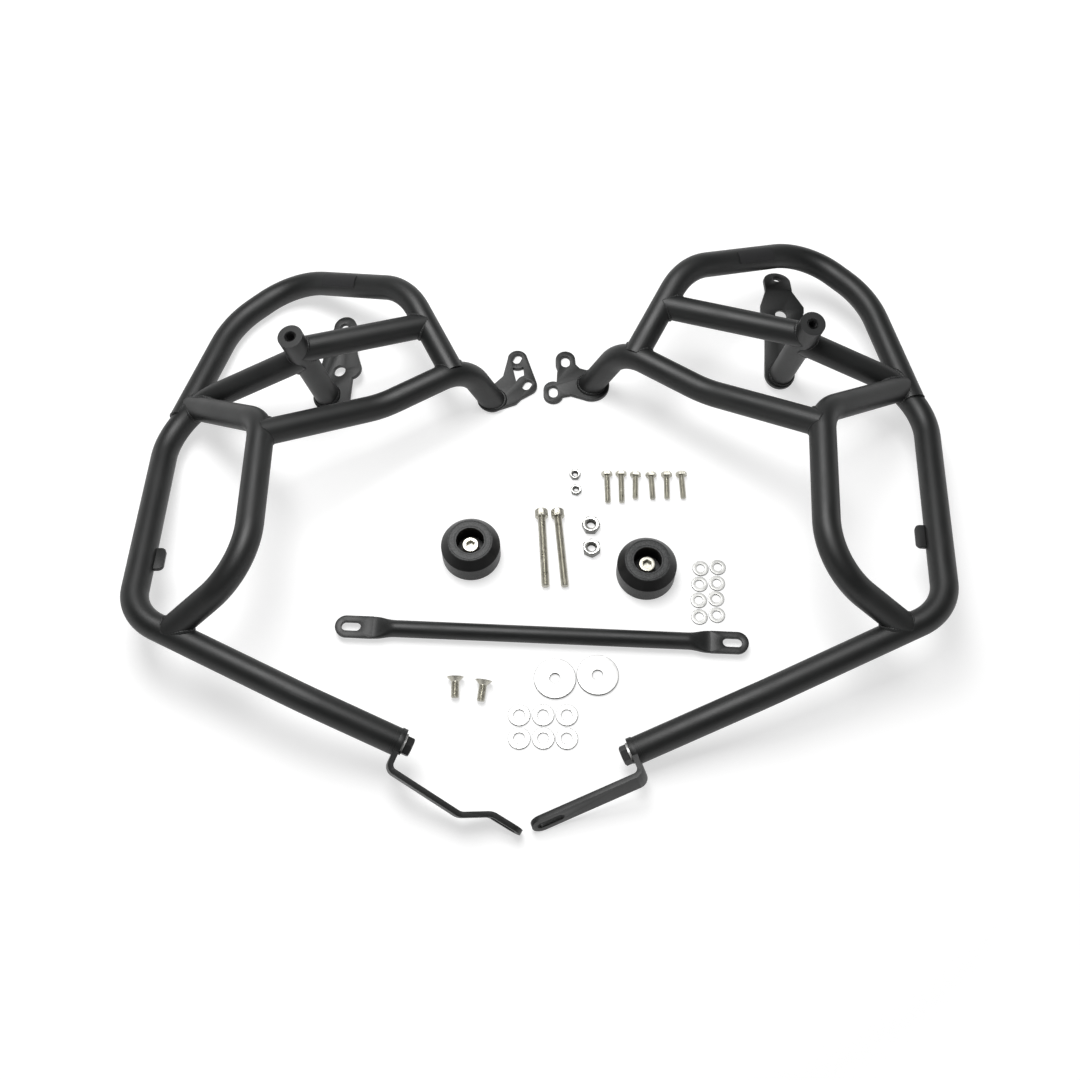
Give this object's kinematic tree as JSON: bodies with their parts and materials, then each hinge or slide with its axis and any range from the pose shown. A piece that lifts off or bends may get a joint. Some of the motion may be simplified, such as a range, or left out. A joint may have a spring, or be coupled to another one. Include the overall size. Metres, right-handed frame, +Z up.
{
  "type": "motorcycle crash bars",
  "caption": "Crash bar kit laid flat: a left and a right guard of bent and welded round tube, a flattened-end cross brace, round plastic sliders and loose fasteners.",
  "frame": {"origin": "centre of the bounding box at floor level", "axes": "+X to the kit's right as laid out, +Y away from the viewer, +Z up"},
  "size_m": [0.7916, 0.6185, 0.1325],
  "materials": {
    "powder_coat": "satin black powder coat",
    "black_bolt": "black oxide, satin",
    "zinc": "zinc plated",
    "washer_steel": "bright plated",
    "slider_plastic": "turned black nylon",
    "badge": "bare black label pad"
  },
  "bodies": {
    "root": {"left_main_tube": "powder_coat", "left_inner_tube": "powder_coat", "left_rail": "powder_coat", "left_hoop": "powder_coat", "left_cross_tube": "powder_coat", "left_boss": "powder_coat", "left_mount_plate": "powder_coat", "left_flange_plate": "powder_coat", "left_end_plug": "powder_coat", "left_drop_bracket": "powder_coat", "left_bracket_bolt": "black_bolt", "left_bracket_washer": "zinc", "left_tab": "powder_coat", "left_badge": "badge", "right_main_tube": "powder_coat", "right_inner_tube": "powder_coat", "right_rail": "powder_coat", "right_hoop": "powder_coat", "right_cross_tube": "powder_coat", "right_boss": "powder_coat", "right_mount_plate": "powder_coat", "right_flange_plate": "powder_coat", "right_end_plug": "powder_coat", "right_drop_bracket": "powder_coat", "right_bracket_bolt": "black_bolt", "right_bracket_washer": "zinc", "right_tab": "powder_coat", "right_badge": "badge", "cross_brace": "powder_coat", "left_puck": "slider_plastic", "left_puck_screw": "zinc", "right_puck": "slider_plastic", "right_puck_screw": "zinc", "socket_screws": "zinc", "long_hex_bolts": "zinc", "short_hex_bolts": "zinc", "small_nuts": "zinc", "large_nuts": "zinc", "small_washers": "washer_steel", "large_washers": "washer_steel", "flat_discs": "washer_steel", "countersunk_screws": "zinc"}
  },
  "joints": []
}
